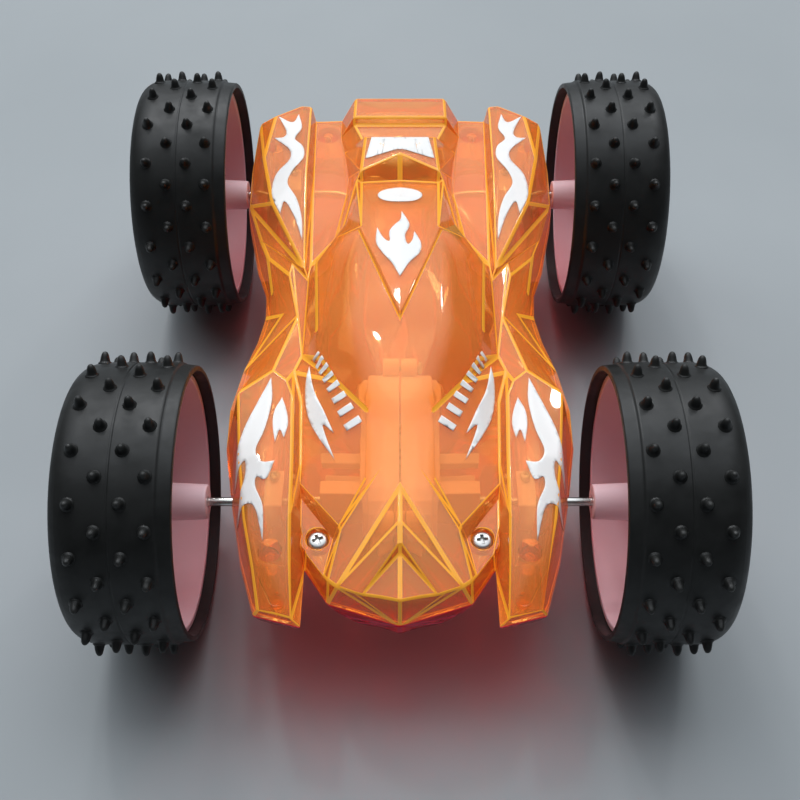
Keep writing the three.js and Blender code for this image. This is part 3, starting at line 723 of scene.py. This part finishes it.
def cut_cross(mesh, head, head_height):
    """Cuts a tapered cross recess into the screw's head."""
    bm = bmesh.new()
    for turn in (0, math.pi / 2):
        rotation = Matrix.Rotation(turn, 3, "Z")
        top = [(-0.62, -0.17), (0.62, -0.17), (0.62, 0.17), (-0.62, 0.17)]
        rows = []
        for share, height in ((0.35, 0.3), (1.1, 1.2)):
            shape = [(x * share if share < 1 else x, y * (0.7 if share < 1 else 1)) for x, y in top]
            rows.append([bm.verts.new(rotation @ Vector((x * head, y * head, head_height * height)))
                         for x, y in shape])
        for k in range(4):
            n = (k + 1) % 4
            bm.faces.new((rows[0][k], rows[0][n], rows[1][n], rows[1][k]))
        bm.faces.new(rows[0][::-1])
        bm.faces.new(rows[1])
    cutter = new_piece("cutter", to_mesh(bm, "cutter_mesh"), [])
    body = new_piece("screw_body", mesh, [])
    cut = body.modifiers.new("cross", "BOOLEAN")
    cut.operation = "DIFFERENCE"
    cut.solver = "EXACT"
    cut.use_self = True
    cut.object = cutter
    baked(body)
    made = body.data
    bpy.data.objects.remove(body)
    bpy.data.objects.remove(cutter)
    return made


def screw_axis(node):
    """Which way the screw's head faces."""
    if node.startswith("gearbox"):
        return Vector((1, 0, 0))
    return Vector((0, 0, -1)) if node.startswith("shell_screw_rear") else Vector((0, 0, 1))


def make_screws(finish):
    made = {}
    for node in sorted(n for n in NODES if "screw" in n):
        low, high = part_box(node)
        axis = screw_axis(node)
        size = high - low
        long = abs(size.dot(axis))
        head = sorted(size)[0] / 2
        is_large = node.startswith("shell")
        head_height = (1.3 if is_large else 1.0) * MM
        shank = (1.1 if is_large else 0.8) * MM
        key = (is_large, round(long, 5))
        if key not in made:
            made[key] = screw_mesh(f"screw_mesh_{len(made)}", head, head_height, shank, long - head_height)
        piece = new_piece(f"{node}_fine", made[key].copy(), [finish["screw_steel"]])
        turn = axis.to_track_quat("Z", "Y").to_matrix().to_4x4()
        spin = Matrix.Rotation(0.37 * (len(made) + low.x * 100), 4, "Z")
        seat = (low + high) / 2 + axis * (long / 2 - head_height)
        piece.matrix_world = Matrix.Translation(seat) @ turn @ spin
        for face in piece.data.polygons:
            face.use_smooth = True
        piece.data.set_sharp_from_angle(angle=math.radians(38))
        stand_for(piece, node)


def flywheel_mesh(width, radius):
    """A turned steel flywheel with a recess round its hub."""
    bore = 1.1 * MM
    ease = 0.4 * MM
    outline = [
        (0, bore, 0), (0, 4 * MM, ease), (0.8 * MM, 5 * MM, ease), (0.8 * MM, radius - 1.6 * MM, ease),
        (0, radius - 0.8 * MM, ease), (0, radius, 0.5 * MM), (width, radius, 0.5 * MM), (width, bore, 0),
    ]
    bm = bmesh.new()
    revolve(bm, eased(outline, 3), 96)
    return to_mesh(bm, "flywheel_mesh")


def make_works(finish):
    """The gearbox, its gears, the brackets that carry the axles, and the flywheel."""
    for node in ("gearbox_left", "gearbox_right"):
        stand_for(rounded_copy(node, f"{node}_moulding", 0.3 * MM, 2, [finish["pink_plastic"]]), node)
    for node in sorted(n for n in NODES if "bracket" in n and "screw" not in n):
        stand_for(rounded_copy(node, f"{node}_moulding", 0.4 * MM, 3, [finish["pink_plastic"]]), node)
    for node in ("axle_gear", "idler_gear", "flywheel_pinion"):
        stand_for(rounded_copy(node, f"{node}_moulding", 0.08 * MM, 2, [finish["gear_plastic"]]), node)
    low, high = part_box("flywheel")
    wheel = new_piece("flywheel_turned", flywheel_mesh(high.x - low.x, (high.z - low.z) / 2),
                      [finish["flywheel_steel"]])
    wheel.location = (low.x, (low.y + high.y) / 2, (low.z + high.z) / 2)
    weighted_normals(wheel)
    stand_for(wheel, "flywheel")
    for node in ("front_axle", "rear_axle", "idler_pin"):
        make_rod(node, finish)


# ---------------------------------------------------------------- paint


def flame(points, steps=5):
    """A smooth closed outline through the points. A point with a third number is a sharp tip."""
    outline = []
    count = len(points)
    for i in range(count):
        before, one, two, after = (points[(i + k) % count] for k in (-1, 0, 1, 2))
        a, b = Vector(one[:2]), Vector(two[:2])
        chord = b - a
        leave = chord if len(one) == 3 else (b - Vector(before[:2])) / 2
        arrive = chord if len(two) == 3 else (Vector(after[:2]) - a) / 2
        for k in range(steps):
            u = k / steps
            outline.append(
                (2 * u**3 - 3 * u**2 + 1) * a + (u**3 - 2 * u**2 + u) * leave
                + (3 * u**2 - 2 * u**3) * b + (u**3 - u**2) * arrive
            )
    return outline


def bar(at, along, half_long, half_wide, slant=0.3):
    """A slanted bar centred on a place, with its long way along a direction."""
    forward = Vector(along).normalized()
    across = Vector((-forward.y, forward.x))
    middle = Vector(at)
    lean = forward * (slant * half_wide)
    return [
        middle - forward * half_long - across * half_wide - lean,
        middle + forward * half_long - across * half_wide - lean,
        middle + forward * half_long + across * half_wide + lean,
        middle - forward * half_long + across * half_wide + lean,
    ]


def mirrored(outlines):
    return [[Vector((-x, y)) for x, y in outline[::-1]] for outline in outlines]


# Each design is a list of outlines in millimetres on the plan of the right half of the car.
FRONT_FENDER = [
    flame([
        (30.6, -25.6, 0), (33.2, -33.0), (35.6, -40.5), (36.7, -47.0), (37.2, -54.6, 0), (35.8, -51.6),
        (34.6, -50.4), (34.4, -54.6), (36.4, -62.6, 0), (33.4, -60.8), (31.4, -62.4), (29.4, -69.6, 0),
        (29.8, -62.0), (31.8, -57.0), (31.6, -54.6), (29.6, -55.4), (28.0, -50.6, 0), (30.8, -51.0),
        (32.4, -47.6), (30.8, -41.6), (29.9, -33.0),
    ]),
    flame([
        (27.6, -31.8, 0), (29.0, -35.6), (29.2, -40.0), (28.3, -45.4, 0), (27.5, -41.6), (26.4, -43.8, 0),
        (25.7, -39.6), (26.4, -35.4),
    ]),
]
BESIDE_CANOPY = [
    flame([
        (21.8, -21.6, 0), (22.4, -28.5), (21.6, -35.4), (19.4, -41.6), (14.6, -49.8, 0), (16.9, -43.2),
        (17.6, -40.2), (15.0, -43.0, 0), (17.8, -36.0), (20.4, -29.0),
    ]),
    *[
        bar((20.0 - 0.84 * k - 0.07 * k * k, -20.4 - 2.05 * k - 0.14 * k * k), (0.62, -0.30),
            0.8 + 0.16 * k, 0.56 + 0.06 * k, 0.0)
        for k in range(8)
    ],
]
REAR_FENDER = [
    flame([
        (26.0, 22.8, 0), (28.6, 31.6), (31.6, 37.6), (32.6, 33.0, 0), (35.4, 41.0), (34.8, 49.4),
        (31.4, 55.2), (31.8, 60.0), (36.6, 66.2, 0), (33.8, 66.0), (33.2, 68.8), (36.0, 76.4, 0),
        (31.6, 73.0), (30.0, 77.0, 0), (28.7, 70.0), (30.4, 65.0), (27.9, 61.0), (27.4, 55.6),
        (30.4, 49.6), (31.2, 44.6), (28.4, 38.6), (26.6, 31.2),
    ]),
]
SPINE_FLAME = [
    flame([
        (0.0, -3.4, 0), (2.2, 1.6), (4.9, 5.6), (5.2, 9.4), (3.6, 13.6, 0), (3.1, 10.2), (1.9, 8.6),
        (1.3, 12.0), (2.4, 16.4), (0.4, 24.0, 0), (0.0, 18.4), (-2.6, 13.8), (-2.6, 9.8), (-4.2, 11.2),
        (-5.8, 15.2, 0), (-6.0, 9.6), (-4.4, 5.6), (-2.0, 1.6),
    ]),
]


def joined_outlines(outlines):
    """Corners and faces of all the outlines as one list, for the triangulation."""
    corners, faces = [], []
    for outline in outlines:
        faces.append(list(range(len(corners), len(corners) + len(outline))))
        corners.extend(Vector(p) * MM for p in outline)
    return corners, faces


def inside(point, outline):
    hit = False
    j = len(outline) - 1
    for i in range(len(outline)):
        (xi, yi), (xj, yj) = outline[i], outline[j]
        if (yi > point.y) != (yj > point.y) and point.x < (xj - xi) * (point.y - yi) / (yj - yi) + xi:
            hit = not hit
        j = i
    return hit


def grid_inside(corners, faces):
    """Points of an even grid that lie in at least one outline."""
    low = Vector((min(c.x for c in corners), min(c.y for c in corners)))
    high = Vector((max(c.x for c in corners), max(c.y for c in corners)))
    points = []
    for i in range(int((high.x - low.x) / PAINT_GRID) + 1):
        for j in range(int((high.y - low.y) / PAINT_GRID) + 1):
            point = low + Vector((i + 0.5 * (j % 2), j)) * PAINT_GRID
            if any(inside(point, [corners[k] for k in face]) for face in faces):
                points.append(point)
    return points


def surface_of(piece):
    graph = bpy.context.evaluated_depsgraph_get()
    return BVHTree.FromObject(piece, graph)


def make_paint(name, outlines, tree, up, finish):
    """A film of paint: the outlines joined, laid on the shell from outside and given thickness."""
    corners, faces = joined_outlines(outlines)
    points = corners + grid_inside(corners, faces)
    verts, _, triangles, _, _, _ = geometry.delaunay_2d_cdt(points, [], faces, 1, 0.01 * MM)
    start = 0.12 if up > 0 else -0.06
    bm = bmesh.new()
    laid = []
    for x, y in verts:
        hit, normal, _, _ = tree.ray_cast(Vector((x, y, start)), Vector((0, 0, -up)))
        laid.append(bm.verts.new(hit + normal * PAINT_LIFT) if hit else None)
    for corner in triangles:
        if all(laid[i] is not None for i in corner):
            bm.faces.new([laid[i] for i in corner])
    bm.normal_update()
    if sum(face.normal.z for face in bm.faces) * up < 0:
        bmesh.ops.reverse_faces(bm, faces=bm.faces)
    for vert in [v for v in bm.verts if not v.link_faces]:
        bm.verts.remove(vert)
    for face in bm.faces:
        face.smooth = True
    mesh = bpy.data.meshes.new(name)
    bm.to_mesh(mesh)
    bm.free()
    piece = new_piece(name, mesh, [finish["paint"]])
    film = piece.modifiers.new("film", "SOLIDIFY")
    film.thickness = PAINT_THICKNESS
    film.offset = 1.0
    baked(piece)
    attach(piece, "chassis")
    return piece


def panel_plate():
    """A plain plate that narrows to the back and arches in front, in strips that leave slots open."""
    cuts = [-9.6, -6.2, -4.9, -1.9, -0.6, 0.6, 1.9, 4.9, 6.2, 9.6]
    slot_front, slot_back, back = 54.2, 58.4, 59.7
    narrow_at_slot, narrow = 0.87, 0.84

    def strip(x0, x1, front0, front1, share, end, front_share=1.0):
        return [
            Vector((x0 * front_share, front0)),
            Vector((x1 * front_share, front1)),
            Vector((x1 * share, end)),
            Vector((x0 * share, end)),
        ]

    strips = []
    for i, (x0, x1) in enumerate(zip(cuts, cuts[1:])):
        front0, front1 = (52.6 - 0.30 * abs(x) for x in (x0, x1))
        if i % 2 == 0:
            strips.append(strip(x0, x1, front0, front1, narrow, back))
        else:
            strips.append(strip(x0, x1, front0, front1, 1.0, slot_front))
            strips.append(strip(x0, x1, slot_back, slot_back, narrow, back, narrow_at_slot))
    return strips


def badge():
    """A plain oval with a slot in it, as two halves that leave the slot open."""
    halves = []
    for side in (-1, 1):
        outer = [
            (side * 6.0 * math.sin(a), 34.6 + 4.6 * math.cos(a))
            for a in [math.radians(180 * k / 18) for k in range(19)]
        ]
        inner = [
            (side * 2.2 * math.sin(a), 34.2 + 1.0 * math.cos(a))
            for a in [math.radians(180 * k / 12) for k in range(13)]
        ]
        halves.append([Vector(p) for p in outer + inner[::-1]])
    return halves


def paint_shell(label, shell, up, finish):
    tree = surface_of(shell)
    for name, outlines in (
        ("fender_front", FRONT_FENDER),
        ("canopy_side", BESIDE_CANOPY),
        ("fender_rear", REAR_FENDER),
    ):
        make_paint(f"{label}_{name}_paint_right", outlines, tree, up, finish)
        make_paint(f"{label}_{name}_paint_left", mirrored(outlines), tree, up, finish)
    make_paint(f"{label}_spine_paint", SPINE_FLAME, tree, up, finish)
    make_paint(f"{label}_panel_paint", panel_plate(), tree, up, finish)
    make_paint(f"{label}_badge_paint", badge(), tree, up, finish)


# ---------------------------------------------------------------- stage


def make_camera():
    """Looks down from the front at the car's middle, a little ahead of halfway."""
    wheelbase = centre_of("rear_axle").y - centre_of("front_axle").y
    target = Vector((0, -0.219 * wheelbase, centre_of("front_axle").z))
    elevation = math.radians(50.8)
    distance = 0.2707
    camera = bpy.data.objects.new("camera", bpy.data.cameras.new("camera"))
    camera.data.sensor_width = 36
    camera.data.lens = 49.34
    camera.location = target + distance * Vector((0, -math.cos(elevation), math.sin(elevation)))
    camera.rotation_euler = (target - camera.location).to_track_quat("-Z", "Y").to_euler()
    bpy.context.scene.collection.objects.link(camera)
    bpy.context.scene.camera = camera


def make_lamp(name, azimuth, elevation, distance, size, power, colour=(1, 1, 1), shape="RECTANGLE"):
    """An area lamp aimed at the car. Azimuth 0 is ahead of the car and 90 is on its left (+X)."""
    data = bpy.data.lights.new(name, "AREA")
    data.shape = shape
    data.size = size[0]
    data.size_y = size[1]
    data.energy = power
    data.color = colour
    lamp = bpy.data.objects.new(name, data)
    a, e = math.radians(azimuth), math.radians(elevation)
    away = Vector((math.sin(a) * math.cos(e), -math.cos(a) * math.cos(e), math.sin(e)))
    lamp.location = Vector((0, 0, 0.03)) + distance * away
    lamp.rotation_euler = (-away).to_track_quat("-Z", "Y").to_euler()
    bpy.context.scene.collection.objects.link(lamp)
    return lamp


def sky(strength, low_strength, elevation):
    """A soft studio sky: dim all round, and brighter towards one side of the ceiling."""
    world = bpy.data.worlds.new("studio")
    world.use_nodes = True
    tree = world.node_tree
    place = tree.nodes.new("ShaderNodeTexCoord").outputs["Generated"]
    towards = tree.nodes.new("ShaderNodeVectorMath")
    towards.operation = "DOT_PRODUCT"
    tree.links.new(place, towards.inputs[0])
    towards.inputs[1].default_value = (0, math.cos(elevation), math.sin(elevation))
    ramp = tree.nodes.new("ShaderNodeMapRange")
    ramp.interpolation_type = "SMOOTHSTEP"
    ramp.inputs["From Min"].default_value = 0.55
    ramp.inputs["From Max"].default_value = 1.0
    ramp.inputs["To Min"].default_value = low_strength
    ramp.inputs["To Max"].default_value = strength
    tree.links.new(towards.outputs["Value"], ramp.inputs["Value"])
    background = tree.nodes["Background"]
    background.inputs["Color"].default_value = (0.88, 0.94, 1.0, 1.0)
    tree.links.new(ramp.outputs["Result"], background.inputs["Strength"])
    bpy.context.scene.world = world


def make_stage():
    bm = bmesh.new()
    bmesh.ops.create_grid(bm, x_segments=8, y_segments=8, size=3.0)
    floor = new_piece("floor", to_mesh(bm, "floor_mesh"), [floor_material()])
    sky(1.7, 0.08, math.radians(60))
    ceiling = make_lamp("ceiling", 180, 70, 2.0, (1.6, 1.0), 17.0, (0.98, 0.99, 1.0))
    ceiling.visible_glossy = False
    window = make_lamp("window", 232, 24, 1.2, (0.6, 0.4), 3.0, (0.95, 0.98, 1.0))
    window.visible_glossy = False
    make_lamp("lamp_one", 189, 41.7, 1.3, (0.10, 0.10), 1.3, shape="DISK")
    make_lamp("lamp_two", 204, 58, 1.3, (0.10, 0.10), 1.3, shape="DISK")
    make_lamp("lamp_three", 150, 41, 1.3, (0.10, 0.10), 1.0, shape="DISK")


def floor_material():
    s = Shader("floor_pale")
    shade = s.blend(s.noise(9.0, 4.0), flat_colour(0.27, 0.295, 0.31), flat_colour(0.32, 0.345, 0.36))
    rough = s.spread(s.noise(40.0, 3.0), 0.42, 0.52)
    return s.finish(s.principled(Base_Color=shade, Roughness=rough, IOR=1.4))


# ---------------------------------------------------------------- the whole


def make_car():
    finish = make_materials()
    upper = make_shell("upper_shell", finish["orange_clear"], finish["orange_edge"], 1)
    lower = make_shell("lower_shell", finish["magenta_clear"], finish["magenta_edge"], -1)
    make_wheels(finish)
    make_works(finish)
    make_screws(finish)
    paint_shell("upper", upper, 1, finish)
    paint_shell("lower", lower, -1, finish)


bpy.context.scene.view_settings.view_transform = "Standard"
make_camera()
make_stage()
make_car()
